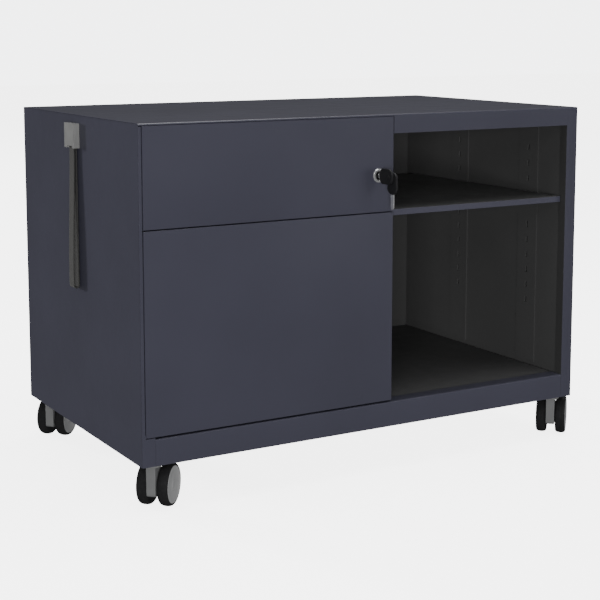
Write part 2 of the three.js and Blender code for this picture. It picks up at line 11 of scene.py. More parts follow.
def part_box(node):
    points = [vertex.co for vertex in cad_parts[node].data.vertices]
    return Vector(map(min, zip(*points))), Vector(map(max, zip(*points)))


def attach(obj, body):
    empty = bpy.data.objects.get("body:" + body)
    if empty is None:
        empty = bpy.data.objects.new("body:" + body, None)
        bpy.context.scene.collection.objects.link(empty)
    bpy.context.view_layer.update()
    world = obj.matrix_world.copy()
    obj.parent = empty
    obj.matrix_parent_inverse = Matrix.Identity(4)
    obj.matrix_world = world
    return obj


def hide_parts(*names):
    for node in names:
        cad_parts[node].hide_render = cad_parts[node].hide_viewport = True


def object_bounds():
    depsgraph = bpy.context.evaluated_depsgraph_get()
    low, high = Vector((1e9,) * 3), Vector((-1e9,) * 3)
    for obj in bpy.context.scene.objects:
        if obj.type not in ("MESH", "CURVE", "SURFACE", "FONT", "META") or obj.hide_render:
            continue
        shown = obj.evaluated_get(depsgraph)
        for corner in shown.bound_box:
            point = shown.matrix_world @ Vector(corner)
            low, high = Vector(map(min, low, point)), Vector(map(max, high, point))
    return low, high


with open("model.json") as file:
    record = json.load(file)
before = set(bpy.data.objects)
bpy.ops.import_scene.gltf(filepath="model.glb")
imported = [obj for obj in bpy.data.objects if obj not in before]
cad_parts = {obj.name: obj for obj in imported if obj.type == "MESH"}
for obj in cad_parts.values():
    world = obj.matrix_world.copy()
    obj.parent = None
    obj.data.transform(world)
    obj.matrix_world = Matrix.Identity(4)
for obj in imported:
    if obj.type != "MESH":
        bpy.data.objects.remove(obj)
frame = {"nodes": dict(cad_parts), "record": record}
cad_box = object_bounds()

MM = 0.001
JOINTS = {j["name"]: j for j in frame["record"]["behaviour"]["joints"]}
X, Y, Z = Vector((1, 0, 0)), Vector((0, 1, 0)), Vector((0, 0, 1))


def low(node):
    """Low corner of a CAD node's box, in metres."""
    return Vector(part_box(node)[0])


def high(node):
    """High corner of a CAD node's box, in metres."""
    return Vector(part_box(node)[1])


def middle(node):
    return (low(node) + high(node)) / 2


# ---------------------------------------------------------------- camera

CAMERA_PLACE = Vector((-1.1962, -2.0213, 0.7016))
CAMERA_TURN = math.radians(-30.29)   # about Z, from looking along +Y
CAMERA_TILT = math.radians(-7.48)    # negative looks down
CAMERA_LENS = 84.2                   # mm
CAMERA_SHIFT = -0.15                 # share of the picture's width


def make_camera():
    """Camera that looks at the front and the left side from a little above."""
    data = bpy.data.cameras.new("camera")
    data.lens = CAMERA_LENS
    data.shift_y = CAMERA_SHIFT
    camera = bpy.data.objects.new("camera", data)
    bpy.context.collection.objects.link(camera)
    camera.location = CAMERA_PLACE
    camera.rotation_euler = (math.pi / 2 + CAMERA_TILT, 0, CAMERA_TURN)
    bpy.context.scene.camera = camera


make_camera()


# ---------------------------------------------------------------- materials

MIX_COLOUR_A, MIX_COLOUR_B = 6, 7   # places of a Mix node's colour inputs
MIX_COLOUR_RESULT = 2               # place of its colour output


class Nodes:
    """A small helper that adds shader nodes and links them."""

    def __init__(self, name):
        self.material = bpy.data.materials.new(name)
        self.material.use_nodes = True
        self.tree = self.material.node_tree
        self.tree.nodes.clear()
        self.shader = self.add("ShaderNodeBsdfPrincipled")
        output = self.add("ShaderNodeOutputMaterial")
        self.link(self.shader.outputs["BSDF"], output.inputs["Surface"])
        self.object_place = self.add("ShaderNodeTexCoord").outputs["Object"]

    def add(self, kind, **settings):
        node = self.tree.nodes.new(kind)
        for key, value in settings.items():
            setattr(node, key, value)
        return node

    def link(self, source, target):
        self.tree.links.new(source, target)

    def math(self, operation, a, b=None, clamp=False):
        """Math node whose inputs are each a number or another node's output."""
        node = self.add("ShaderNodeMath", operation=operation, use_clamp=clamp)
        for socket, value in zip(node.inputs, (a, b)):
            if value is None:
                continue
            if isinstance(value, (int, float)):
                socket.default_value = value
            else:
                self.link(value, socket)
        return node.outputs[0]

    def noise(self, scale, detail=3.0, stretch=None):
        """Noise from 0 to 1, with scale in cycles a metre."""
        place = self.object_place
        if stretch:
            mapping = self.add("ShaderNodeMapping")
            mapping.inputs["Scale"].default_value = stretch
            self.link(place, mapping.inputs["Vector"])
            place = mapping.outputs["Vector"]
        node = self.add("ShaderNodeTexNoise")
        node.inputs["Scale"].default_value = scale
        node.inputs["Detail"].default_value = detail
        self.link(place, node.inputs["Vector"])
        return node.outputs["Fac"]

    def spread(self, value, low_value, high_value, start=0.3, end=0.7):
        """Maps value from start..end to low_value..high_value."""
        node = self.add("ShaderNodeMapRange")
        node.inputs["From Min"].default_value = start
        node.inputs["From Max"].default_value = end
        node.inputs["To Min"].default_value = low_value
        node.inputs["To Max"].default_value = high_value
        self.link(value, node.inputs["Value"])
        return node.outputs["Result"]

    def blend_colour(self, factor, a, b):
        """Colour from a to b as factor goes from 0 to 1."""
        node = self.add("ShaderNodeMix", data_type="RGBA")
        self.link(factor, node.inputs["Factor"])
        for index, value in ((MIX_COLOUR_A, a), (MIX_COLOUR_B, b)):
            if isinstance(value, tuple):
                node.inputs[index].default_value = (*value, 1)
            else:
                self.link(value, node.inputs[index])
        return node.outputs[MIX_COLOUR_RESULT]

    def edge_mask(self, radius):
        """About 0 on flat faces and near 1 along edges."""
        rounded = self.add("ShaderNodeBevel", samples=4)
        rounded.inputs["Radius"].default_value = radius
        true_normal = self.add("ShaderNodeNewGeometry").outputs["Normal"]
        dot = self.add("ShaderNodeVectorMath", operation="DOT_PRODUCT")
        self.link(rounded.outputs["Normal"], dot.inputs[0])
        self.link(true_normal, dot.inputs[1])
        return self.math("SUBTRACT", 1.0, dot.outputs["Value"], clamp=True)

    def bump(self, height, strength, distance, under=None):
        """Bump normal from a height, drawn over another bump where under is given."""
        node = self.add("ShaderNodeBump")
        node.inputs["Strength"].default_value = strength
        node.inputs["Distance"].default_value = distance
        self.link(height, node.inputs["Height"])
        if under is not None:
            self.link(under, node.inputs["Normal"])
        return node.outputs["Normal"]


def scaled(colour, factor):
    return tuple(min(1.0, c * factor) for c in colour)


def powder_coat(name, colour, roughness, worn=1.7, facing=(), back_painted_light=None):
    """Satin powder coat: fine orange peel, faint cloudiness, edges rubbed a little lighter.

    worn is how much lighter the rubbed edges are than the coat.
    facing lists (axis, sign, colour) for faces that have a tone of their own: the inside's paint on
    two-tone parts, and painted light on faces made lighter for how light falls.
    back_painted_light is how much lighter the colour is painted at the back than at the front:
    painted light for the dim depths."""
    n = Nodes(name)
    clouds = n.spread(n.noise(5, 4), 0, 1)
    speckle = n.spread(n.noise(1400, 2), 0, 1, 0.35, 0.65)
    coat = n.blend_colour(clouds, scaled(colour, 0.93), scaled(colour, 1.07))
    grainy = n.blend_colour(n.math("MULTIPLY", speckle, 0.22), coat, scaled(colour, 1.45))
    patches = n.spread(n.noise(60, 4), 0.1, 0.7, 0.4, 0.65)
    rubbed = n.math("MULTIPLY", n.edge_mask(0.9 * MM), patches)
    tone = n.blend_colour(rubbed, grainy, scaled(colour, worn))
    normal = n.add("ShaderNodeSeparateXYZ")
    n.link(n.add("ShaderNodeNewGeometry").outputs["Normal"], normal.inputs[0])
    # Listed directions get their own tone: the inside's paint on two-tone parts, and painted light
    # on faces made lighter for how light falls.
    for axis, sign, other in facing:
        turned = n.math("MULTIPLY", normal.outputs[axis], sign)
        cloudy = n.blend_colour(clouds, scaled(other, 0.93), scaled(other, 1.07))
        tone = n.blend_colour(n.spread(turned, 0, 1, 0.5, 0.9), tone, cloudy)
    # Painted light: the colour is made lighter towards the back.
    if back_painted_light:
        place = n.add("ShaderNodeSeparateXYZ")
        n.link(n.object_place, place.inputs[0])
        gain = n.spread(place.outputs["Y"], 1, back_painted_light, cad_box[0][1], cad_box[1][1])
        lighter = n.add("ShaderNodeVectorMath", operation="SCALE")
        n.link(tone, lighter.inputs[0])
        n.link(gain, lighter.inputs["Scale"])
        tone = lighter.outputs[0]
    n.link(tone, n.shader.inputs["Base Color"])
    satin = n.spread(n.noise(35, 5), roughness - 0.04, roughness + 0.05)
    n.link(satin, n.shader.inputs["Roughness"])
    peel = n.bump(n.noise(620, 2), 0.16, 0.22 * MM)
    n.link(n.bump(n.noise(2600, 1), 0.10, 0.1 * MM, peel), n.shader.inputs["Normal"])
    return n.material


def zinc_plate(name):
    """Bright zinc on rolled steel: drawn along Y, with faint bloom."""
    n = Nodes(name)
    drawn = n.spread(n.noise(90, 4, (6, 0.25, 6)), 0, 1)
    base = n.blend_colour(drawn, (0.42, 0.43, 0.45), (0.56, 0.57, 0.58))
    bloom = n.spread(n.noise(24, 5), 0, 0.35, 0.45, 0.75)
    n.link(n.blend_colour(bloom, base, (0.36, 0.36, 0.37)), n.shader.inputs["Base Color"])
    n.shader.inputs["Metallic"].default_value = 1.0
    n.link(n.spread(n.noise(160, 4, (5, 0.3, 5)), 0.28, 0.44), n.shader.inputs["Roughness"])
    n.link(n.bump(n.noise(700, 2, (5, 0.3, 5)), 0.12, 0.1 * MM), n.shader.inputs["Normal"])
    return n.material


def chrome_plate(name, metallic):
    """Nickel-bright plating with faint smudges, a little milky from handling."""
    n = Nodes(name)
    smudge = n.spread(n.noise(220, 4), 0, 1)
    base = n.blend_colour(smudge, (0.74, 0.75, 0.76), (0.86, 0.86, 0.87))
    n.link(base, n.shader.inputs["Base Color"])
    n.shader.inputs["Metallic"].default_value = metallic
    n.link(n.spread(n.noise(500, 3), 0.10, 0.22), n.shader.inputs["Roughness"])
    n.link(n.bump(n.noise(900, 2), 0.03, 0.1 * MM), n.shader.inputs["Normal"])
    return n.material


def moulded(name, colour, roughness, worn=1.5, gloss=0.5):
    """Moulded plastic: fine spark-eroded grain, and edges polished by handling."""
    n = Nodes(name)
    tone = n.spread(n.noise(45, 3), 0, 1)
    base = n.blend_colour(tone, scaled(colour, 0.93), scaled(colour, 1.07))
    rubbed = n.math("MULTIPLY", n.edge_mask(0.7 * MM), n.spread(n.noise(150, 3), 0.1, 0.8))
    n.link(n.blend_colour(rubbed, base, scaled(colour, worn)), n.shader.inputs["Base Color"])
    polish = n.spread(n.noise(120, 3), roughness - 0.06, roughness + 0.06)
    n.link(polish, n.shader.inputs["Roughness"])
    n.shader.inputs["Specular IOR Level"].default_value = gloss
    n.link(n.bump(n.noise(2200, 2), 0.2, 0.15 * MM), n.shader.inputs["Normal"])
    return n.material


def tread_rubber(name):
    """Black polyurethane tread, with a trace of dust where it rolls."""
    n = Nodes(name)
    dust = n.spread(n.noise(260, 5), 0, 0.5, 0.45, 0.8)
    base = n.blend_colour(dust, (0.011, 0.011, 0.0115), (0.023, 0.0225, 0.022))
    n.link(base, n.shader.inputs["Base Color"])
    n.link(n.spread(n.noise(180, 4), 0.62, 0.82), n.shader.inputs["Roughness"])
    n.shader.inputs["Specular IOR Level"].default_value = 0.35
    n.link(n.bump(n.noise(1500, 3), 0.22, 0.15 * MM), n.shader.inputs["Normal"])
    return n.material


def woven_webbing(name, colour):
    """Plain weave: ribs across the strap, broken by the warp, with painted shade in the weave's
    hollows.
    """
    weft_pitch, warp_pitch = 1.1 * MM, 1.4 * MM
    n = Nodes(name)
    split = n.add("ShaderNodeSeparateXYZ")
    n.link(n.object_place, split.inputs[0])
    weft = n.math("SINE", n.math("MULTIPLY", split.outputs["Z"], 2 * math.pi / weft_pitch))
    warp = n.math("SINE", n.math("MULTIPLY", split.outputs["Y"], 2 * math.pi / warp_pitch))
    weave = n.math("MULTIPLY", weft, warp)
    height = n.math("ADD", n.math("MULTIPLY", weave, 0.35), n.math("MULTIPLY", weft, 0.25))
    fibres = n.noise(2600, 3, (1, 1, 0.25))
    # Colour darkens where the weave dips: painted shade in its hollows, over the fibres' own tone.
    shade = n.spread(n.math("ADD", height, n.math("MULTIPLY", fibres, 0.6)), 0, 1, -0.4, 0.9)
    base = n.blend_colour(shade, scaled(colour, 0.62), scaled(colour, 1.22))
    n.link(base, n.shader.inputs["Base Color"])
    n.shader.inputs["Roughness"].default_value = 0.88
    n.shader.inputs["Sheen Weight"].default_value = 0.05
    n.shader.inputs["Sheen Roughness"].default_value = 0.5
    n.link(n.bump(n.math("ADD", height, fibres), 0.5, 0.3 * MM), n.shader.inputs["Normal"])
    return n.material


PAINT_COLOUR = (0.0345, 0.0343, 0.0485)
INNER_COLOUR = (0.040, 0.040, 0.040)
# Inner paint: faces towards the front keep the plain inner tone, and up-facing faces are painted
# 1.35 times lighter, painted light for the dim interior.
INNER_TONES_AND_PAINTED_LIGHT = (("Y", -1, INNER_COLOUR), ("Z", 1, scaled(INNER_COLOUR, 1.35)))
# Shelf top: the inside's tone, painted 1.7 times lighter as painted light for the shade under the
# top.
SHELF_TOP_TONE_AND_PAINTED_LIGHT = (("Z", 1, scaled(INNER_COLOUR, 1.7)),)
POST_FACES = (("X", -1, scaled(INNER_COLOUR, 0.8)),)

FINISH = {
    "body_paint": powder_coat("body_paint", PAINT_COLOUR, 0.40),
    # The inner paint is also painted up to 1.7 times lighter towards the back: painted light for
    # the compartment's dim depths.
    "inner_paint": powder_coat("inner_paint", INNER_COLOUR, 0.55, 1.0, INNER_TONES_AND_PAINTED_LIGHT, 1.7),
    "zinc_steel": zinc_plate("zinc_steel"),
    "chrome": chrome_plate("chrome", 0.84),
    "black_plastic": moulded("black_plastic", (0.013, 0.013, 0.014), 0.60, worn=1.2, gloss=0.25),
    "clip_grey": moulded("clip_grey", (0.150, 0.150, 0.148), 0.45),
    "webbing": woven_webbing("webbing", (0.036, 0.0355, 0.034)),
    "tyre_rubber": tread_rubber("tyre_rubber"),
    "caster_grey": moulded("caster_grey", (0.119, 0.120, 0.120), 0.42, worn=1.2),
}
CORE_METAL = chrome_plate("core_metal", 1.0)
# Hub discs: a lighter copy of the caster grey, painted light for hub faces that the lamps only
# graze.
PAINTED_LIGHT_HUB_GREY = moulded("painted_light_hub_grey", (0.270, 0.271, 0.272), 0.42, worn=1.1)

# Nodes that show both the outside's and the inside's paint. On the shelf, the top and the back are
# also painted lighter: painted light.
TWO_TONE_AND_PAINTED_LIGHT = {
    "shelf": powder_coat("shelf_paint_and_painted_light", PAINT_COLOUR, 0.45, facing=SHELF_TOP_TONE_AND_PAINTED_LIGHT, back_painted_light=2.6),
    "side_panel_right": powder_coat("post_paint", PAINT_COLOUR, 0.40, facing=POST_FACES),
}


def dress(piece, slot_name):
    """Gives a piece or a node its slot's finish."""
    piece.data.materials.clear()
    piece.data.materials.append(FINISH[slot_name])


# ---------------------------------------------------------------- mesh helpers

def new_piece(name, bm, body, slot_name, smooth_angle=35):
    """Turns a bmesh drawn in the row frame, in metres, into a piece on a body."""
    bmesh.ops.recalc_face_normals(bm, faces=bm.faces)
    mesh = bpy.data.meshes.new(name)
    bm.to_mesh(mesh)
    bm.free()
    mesh.shade_smooth()
    mesh.set_sharp_from_angle(angle=math.radians(smooth_angle))
    piece = bpy.data.objects.new(name, mesh)
    bpy.context.collection.objects.link(piece)
    dress(piece, slot_name)
    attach(piece, body)
    return piece


def soften(piece, width, segments=2, angle=30):
    """Rounds every edge that is sharper than angle, in degrees."""
    bevel = piece.modifiers.new("soft_edges", "BEVEL")
    bevel.width = width
    bevel.segments = segments
    bevel.limit_method = "ANGLE"
    bevel.angle_limit = math.radians(angle)
    bevel.harden_normals = True


def basis(along):
    """Rotation whose third column is along, for profiles turned about it."""
    w = along.normalized()
    helper = Z if abs(w.dot(Z)) < 0.9 else X
    u = helper.cross(w).normalized()
    v = w.cross(u)
    return Matrix((u, v, w)).transposed()


def lathe(bm, profile, centre, axis, segments):
    """Turns (radius, along) points, in millimetres, about an axis through centre.

    A profile either starts and ends on the axis, or is a closed ring round it."""
    turn = basis(axis)
    rings = []
    for radius, along in profile:
        if radius == 0:
            rings.append([bm.verts.new(centre + turn @ Vector((0, 0, along * MM)))])
            continue
        ring = []
        for i in range(segments):
            a = 2 * math.pi * i / segments
            place = Vector((radius * math.cos(a), radius * math.sin(a), along)) * MM
            ring.append(bm.verts.new(centre + turn @ place))
        rings.append(ring)
    pairs = list(zip(rings, rings[1:]))
    if profile[0][0] > 0:
        pairs.append((rings[-1], rings[0]))
    for a, b in pairs:
        for i in range(segments):
            j = (i + 1) % segments
            corners = [a[i % len(a)], a[j % len(a)], b[j % len(b)], b[i % len(b)]]
            face = list(dict.fromkeys(corners))
            if len(face) > 2:
                bm.faces.new(face)


def prism(bm, outline, origin, u, v, w, thickness, hole=None):
    """Pushes a closed outline of (u, v) points, in millimetres, along w.

    A hole has as many points as the outline."""
    def layer(points, depth):
        return [bm.verts.new(origin + (u * a + v * b + w * depth) * MM) for a, b in points]

    def band(a, b):
        for i in range(len(a)):
            j = (i + 1) % len(a)
            bm.faces.new((a[i], a[j], b[j], b[i]))

    front, back = layer(outline, 0), layer(outline, thickness)
    band(front, back)
    if hole is None:
        bm.faces.new(front)
        bm.faces.new(back)
        return
    inner_front, inner_back = layer(hole, 0), layer(hole, thickness)
    band(inner_front, inner_back)
    band(front, inner_front)
    band(back, inner_back)


def cuboid(bm, lo, hi):
    """Box between two corners, in metres."""
    made = bmesh.ops.create_cube(bm, size=1.0)["verts"]
    for vert in made:
        vert.co = Vector([lo[i] + (vert.co[i] + 0.5) * (hi[i] - lo[i]) for i in range(3)])


def arc(cx, cy, radius, start, end, steps):
    """Points of an arc, with angles in degrees."""
    turn = [math.radians(start + (end - start) * i / steps) for i in range(steps + 1)]
    return [(cx + radius * math.cos(a), cy + radius * math.sin(a)) for a in turn]


# ---------------------------------------------------------------- carried CAD nodes

FOLD_ANGLE = 32       # degrees; flatter bends are shaded smooth
SHEET_EDGE = 0.35     # rounding of the sheet metal's edges, mm
CLIP_EDGE = 0.8       # rounding of the strap clip's edges, mm

# Starts of the names of nodes that need no refining, since finer pieces stand in for them.
REBUILT = ("caster_", "key_", "spare_", "pull_")


def joined_surface():
    """Node group that joins a carried mesh's triangles and shades it smooth except across folds."""
    group = bpy.data.node_groups.new("joined_surface", "GeometryNodeTree")
    group.interface.new_socket("Geometry", in_out="INPUT", socket_type="NodeSocketGeometry")
    group.interface.new_socket("Geometry", in_out="OUTPUT", socket_type="NodeSocketGeometry")
    start = group.nodes.new("NodeGroupInput")
    merge = group.nodes.new("GeometryNodeMergeByDistance")
    merge.inputs["Distance"].default_value = 0.01 * MM
    plain = group.nodes.new("GeometryNodeRemoveAttribute")
    plain.inputs["Name"].default_value = "custom_normal"
    smooth = group.nodes.new("GeometryNodeSetShadeSmooth")
    angle = group.nodes.new("GeometryNodeInputMeshEdgeAngle")
    sharp = group.nodes.new("FunctionNodeCompare")
    sharp.inputs["B"].default_value = math.radians(FOLD_ANGLE)
    crease = group.nodes.new("GeometryNodeSetShadeSmooth")
    crease.domain = "EDGE"
    crease.inputs["Shade Smooth"].default_value = False
    end = group.nodes.new("NodeGroupOutput")
    chain = [start, merge, plain, smooth, crease, end]
    for a, b in zip(chain, chain[1:]):
        group.links.new(a.outputs["Geometry"], b.inputs["Geometry"])
    group.links.new(angle.outputs["Unsigned Angle"], sharp.inputs["A"])
    group.links.new(sharp.outputs["Result"], crease.inputs["Selection"])
    return group


JOINED = joined_surface()


def refine(node, width, segments=2):
    """Gives a carried CAD node smooth bends and small rounded edges."""
    node.modifiers.new("joined", "NODES").node_group = JOINED
    soften(node, width, segments)


def dress_nodes():
    """Finishes every carried node, and refines those that stay in sight."""
    slots = {s["node"]: s["material_slot"] for s in frame["record"]["subparts"]}
    for name, node in frame["nodes"].items():
        dress(node, slots[name])
        if name in TWO_TONE_AND_PAINTED_LIGHT:
            node.data.materials[0] = TWO_TONE_AND_PAINTED_LIGHT[name]
        if name == "strap_clip":
            refine(node, CLIP_EDGE * MM, 3)
        elif not name.startswith(REBUILT):
            refine(node, SHEET_EDGE * MM)


dress_nodes()


def painted_shade_strip():
    """Black strip under the top, along the left side: a dark piece set into the seam as painted
    shade, where light would show through the seam.
    """
    sheet, strip_width, strip_height = 1.2, 4, 5
    side_gap, front_gap, back_gap, top_gap = 1.6, 30, 6, 0.02
    under_top = high("top_panel").z - sheet * MM
    side = low("side_panel_left").x + side_gap * MM
    front = low("top_panel").y + front_gap * MM
    back = high("side_panel_left").y - back_gap * MM
    lo = Vector((side, front, under_top - strip_height * MM))
    hi = Vector((side + strip_width * MM, back, under_top - top_gap * MM))
    bm = bmesh.new()
    cuboid(bm, lo, hi)
    shade_strip = new_piece("painted_shade_strip", bm, "root", "black_plastic")
    soften(shade_strip, 0.01 * MM)


painted_shade_strip()


# ---------------------------------------------------------------- casters

def caster(name):
    """Swivel head with stem, and two wheels, each a tread round a dished hub."""
    turn, roll = JOINTS[f"{name}_turn"], JOINTS[f"{name}_roll_a"]
    stem, hub_centre = Vector(turn["pos_m"]), Vector(roll["pos_m"])
    axle = Vector(roll["axis"]).normalized()
    trail = axle.cross(Z).normalized()
    if trail.dot(hub_centre - stem) < 0:
        trail = -trail
    radius = hub_centre.z / MM
    caster_head(name, stem, hub_centre, axle, trail, radius)
    for side in "ab":
        outward = axle if axle.dot(middle(f"{name}_hub_{side}") - hub_centre) > 0 else -axle
        caster_wheel(name, side, hub_centre, outward, radius)


def caster_head(name, stem, hub_centre, axle, trail, radius):
    """Moulded head between the wheels, with its collar, threaded stem and axle pin."""
    body = f"{name}_swivel"
    foot = Vector((stem.x, stem.y, 0))
    reach = (hub_centre - stem).dot(trail) / MM
    half, shoulder, heel, shell = 7.2, 70.6, 5, 11.8
    outline = [(-8.9, shoulder)]
    outline += arc(-3.9, 25.7, heel, 180, 270, 6)
    outline += arc(reach, radius, shell, -90, 45, 10)
    outline += [(17, 61), (12, shoulder)]
    bm = bmesh.new()
    prism(bm, outline, foot - axle * half * MM, trail, Z, axle, 2 * half)
    head = new_piece(f"{name}_head", bm, body, "caster_grey")
    soften(head, 1.1 * MM, 3)
    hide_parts(f"{name}_housing")

    collar = [(0, 66.3), (13.4, 66.3), (14, 66.9), (14, 70), (13.4, 70.6), (5.6, 70.7),
              (5.6, 71.4), (0, 71.4)]
    bm = bmesh.new()
    lathe(bm, collar, foot, Z, 48)
    new_piece(f"{name}_collar", bm, body, "caster_grey")

    turns, pitch, root, crest, bottom = 23, 1.5, 4.2, 4.9, 72
    thread = [(0, 71.6)]
    for i in range(turns):
        z = bottom + i * pitch
        thread += [(root, z), (crest, z + pitch / 2)]
    thread += [(3.6, 107.4), (0, 107.8)]
    bm = bmesh.new()
    lathe(bm, thread, foot, Z, 32)
    new_piece(f"{name}_stem", bm, body, "zinc_steel")

    pin = [(0, -20), (2.9, -20), (3.3, -19.6), (3.3, 19.6), (2.9, 20), (0, 20)]
    bm = bmesh.new()
    lathe(bm, pin, hub_centre, axle, 24)
    new_piece(f"{name}_axle", bm, body, "zinc_steel")


def caster_wheel(name, side, centre, outward, radius):
    """Rounded tread with a web over the inner side, round a dished hub disc."""
    body = f"{name}_wheel_{side}"
    rim = 28.2
    web = [(rim, 8.25), (6.0, 8.15), (6.0, 8.0)]
    falls = [(2.8, 8.0), (1.6, 9.2), (0.7, 11.2), (0.2, 13.6), (0.02, 16.3), (0.2, 19.1),
             (0.7, 21.6), (1.7, 23.5), (2.8, 24.4)]
    crown = [(radius - fall, along) for fall, along in falls]
    tread = web + crown + [(rim + 0.5, 24.6), (rim, 24.2)]
    bm = bmesh.new()
    lathe(bm, tread, centre, outward, 96)
    tyre = new_piece(f"{name}_tread_{side}", bm, body, "tyre_rubber", 50)
    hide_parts(f"{name}_tyre_{side}")

    bore = [(0, 22.7), (4.1, 22.7), (4.1, 8.2), (7.5, 8.2), (7.5, 9.4), (24.5, 9.4), (24.5, 8.3)]
    face = [(27.9, 8.3), (27.9, 24.0), (27.4, 24.5), (26.2, 24.6), (25.4, 24.2), (24.6, 23.9),
            (9.2, 24.2), (8.6, 23.8), (8.0, 23.9), (7.4, 24.3), (0, 24.5)]
    bm = bmesh.new()
    lathe(bm, bore + face, centre, outward, 96)
    disc = new_piece(f"{name}_hub_disc_{side}", bm, body, "caster_grey", 25)
    # Painted light: the hub disc takes the lighter copy of the caster grey.
    disc.data.materials[0] = PAINTED_LIGHT_HUB_GREY
    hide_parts(f"{name}_hub_{side}")


for end in ("front", "back"):
    for side in ("left", "right"):
        caster(f"caster_{end}_{side}")


# ---------------------------------------------------------------- lock and keys

# Measures in millimetres.
KEY_BOW_LENGTH = 33.9
KEY_BOW_HALF = 11.95              # half its width
KEY_HOLE_RADIUS = 2.3
KEY_HOLE_AT = 26.5                # from the bow's neck
KEY_BLADE_HALF = 3.9              # half its width
KEY_BLADE_THICK = 2.0
KEY_CUTS = (1.3, 0.6, 1.5, 0.9)   # depths, from the tip


def lock():
    """Chromed escutcheon ring round a barrel with a keyway."""
    axis = Vector(JOINTS["lock_turn"]["pos_m"])
    centre = Vector((axis.x, low("upper_drawer_front").y, axis.z))
    ring = [(7.3, -2.2), (7.8, -2.35), (9.6, -2.3), (10.6, -1.7), (10.95, -0.9), (10.95, -0.2),
            (9.0, -0.2), (9.0, 16), (7.3, 16)]
    bm = bmesh.new()
    lathe(bm, ring, centre, Y, 72)
    body = new_piece("lock_escutcheon", bm, "upper_drawer", "chrome", 40)
    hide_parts("lock_body")

    barrel_radius, proud, depth = 6.85, 1.9, 22.8
    slot_half, slot_reach = 1.45, 4.3
    outline = arc(0, 0, barrel_radius, 0, 360, 48)[:-1]
    slot = []
    for a, b in outline:
        reach = min(slot_half / max(abs(a), 1e-6), slot_reach / max(abs(b), 1e-6))
        slot.append((a * reach, b * reach))
    bm = bmesh.new()
    prism(bm, outline, centre - Y * (proud * MM), X, Z, Y, depth, slot)
    barrel = new_piece("lock_core", bm, "lock_barrel", "chrome", 30)
    barrel.data.materials[0] = CORE_METAL
    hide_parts("lock_barrel")


def key_outline(length, half):
    """Bow of a key: (along, across) points from its neck to its rounded end."""
    neck = [(0, 5), (1.2, 5.6)]
    shoulder, corner = 8, 10
    points = [(a, -b) for a, b in neck]
    points += arc(9, shoulder - half, shoulder, 205, 270, 6)
    points += arc(length - corner, corner - half, corner, 270, 360, 9)
    points += arc(length - corner, half - corner, corner, 0, 90, 9)
    points += arc(9, half - shoulder, shoulder, 90, 155, 6)
    return points + neck[::-1]


def blade_outline(length):
    """Blade of a key: (along, across) points, with its cuts along the lower edge."""
    half = KEY_BLADE_HALF
    points = [(0, half), (2.4 - length, half), (-length, 1.6), (-length, -1.6)]
    points += [(1.6 - length, -3.2)]
    first_cut, cut_pitch = 2.6 - length, 3.6
    for i, depth in enumerate(KEY_CUTS):
        at = first_cut + cut_pitch * i
        points += [(at, depth - half), (at + 1.3, depth - half), (at + 2.2, 0.1 - half)]
    return points + [(0, -half)]


def key(name, body, neck, along, across):
    """A flat key in the Y Z plane: a moulded bow with a hole, and a blade."""
    head_node, blade_node = f"{body}_head", f"{body}_blade"
    head_low, head_high = low(head_node), high(head_node)
    outline = key_outline(KEY_BOW_LENGTH, KEY_BOW_HALF)
    hole = []
    for a, b in outline:
        away = Vector((a - KEY_HOLE_AT, b)).normalized() * KEY_HOLE_RADIUS
        hole.append((KEY_HOLE_AT + away.x, away.y))
    bm = bmesh.new()
    origin = Vector((head_low.x, neck.y, neck.z))
    prism(bm, outline, origin, along, across, X, (head_high.x - head_low.x) / MM, hole)
    bow = new_piece(f"{name}_bow", bm, body, "black_plastic", 40)
    soften(bow, 0.8 * MM, 3, 50)
    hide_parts(head_node)

    size = high(blade_node) - low(blade_node)
    sunk = 0.3
    side = middle(blade_node).x - KEY_BLADE_THICK / 2 * MM
    origin = Vector((side, neck.y, neck.z)) - along * (sunk * MM)
    bm = bmesh.new()
    prism(bm, blade_outline(max(size.y, size.z) / MM), origin, along, across, X, KEY_BLADE_THICK)
    blade = new_piece(f"{name}_blade", bm, body, "chrome", 40)
    soften(blade, 0.25 * MM, 2, 40)
    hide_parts(blade_node)


def rivet():
    """Headed rivet that joins the two keys."""
    lo, centre = low("key_link"), middle("key_link")
    length = (high("key_link").x - lo.x) / MM
    cap = [(0, 0.05), (1.8, 0.15), (2.6, 0.5), (2.9, 1.0), (2.9, 1.2), (1.5, 1.25)]
    profile = cap + [(radius, length - along) for radius, along in reversed(cap)]
    bm = bmesh.new()
    lathe(bm, profile, Vector((lo.x, centre.y, centre.z)), X, 40)
    piece = new_piece("key_rivet", bm, "key", "black_plastic", 40)
    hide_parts("key_link")


def keys():
    head, spare = middle("key_head"), middle("spare_key_head")
    key("lock_key", "key", Vector((0, high("key_head").y, head.z)), -Y, Z)
    key("hanging_key", "spare_key", Vector((0, spare.y, low("spare_key_head").z)), Z, -Y)
    rivet()


lock()
keys()


# ---------------------------------------------------------------- pull strap

def eased(start, end, t):
    """From start to end, with a level start and end, as t goes from 0 to 1."""
    return start + (end - start) * t * t * (3 - 2 * t)


def strap_line(pin_x, fold_x, drop, top_radius, fold):
    """Closed centre line of the loop: (x, z) points, in millimetres above the fold's centre."""
    steps, outward_bow = 34, 0.35
    shares = [i / steps for i in range(1, steps)]
    outer, inner = pin_x - top_radius, pin_x + top_radius
    line = [(pin_x + a, b) for a, b in arc(0, drop, top_radius, 0, 180, 10)]
    for t in shares:
        bow = outward_bow * math.sin(math.pi * t)
        line.append((eased(outer, fold_x - fold, t) - bow, drop * (1 - t)))
    line += arc(fold_x, 0, fold, 180, 360, 14)
    line += [(eased(fold_x + fold, inner, t), drop * t) for t in shares]
    return line


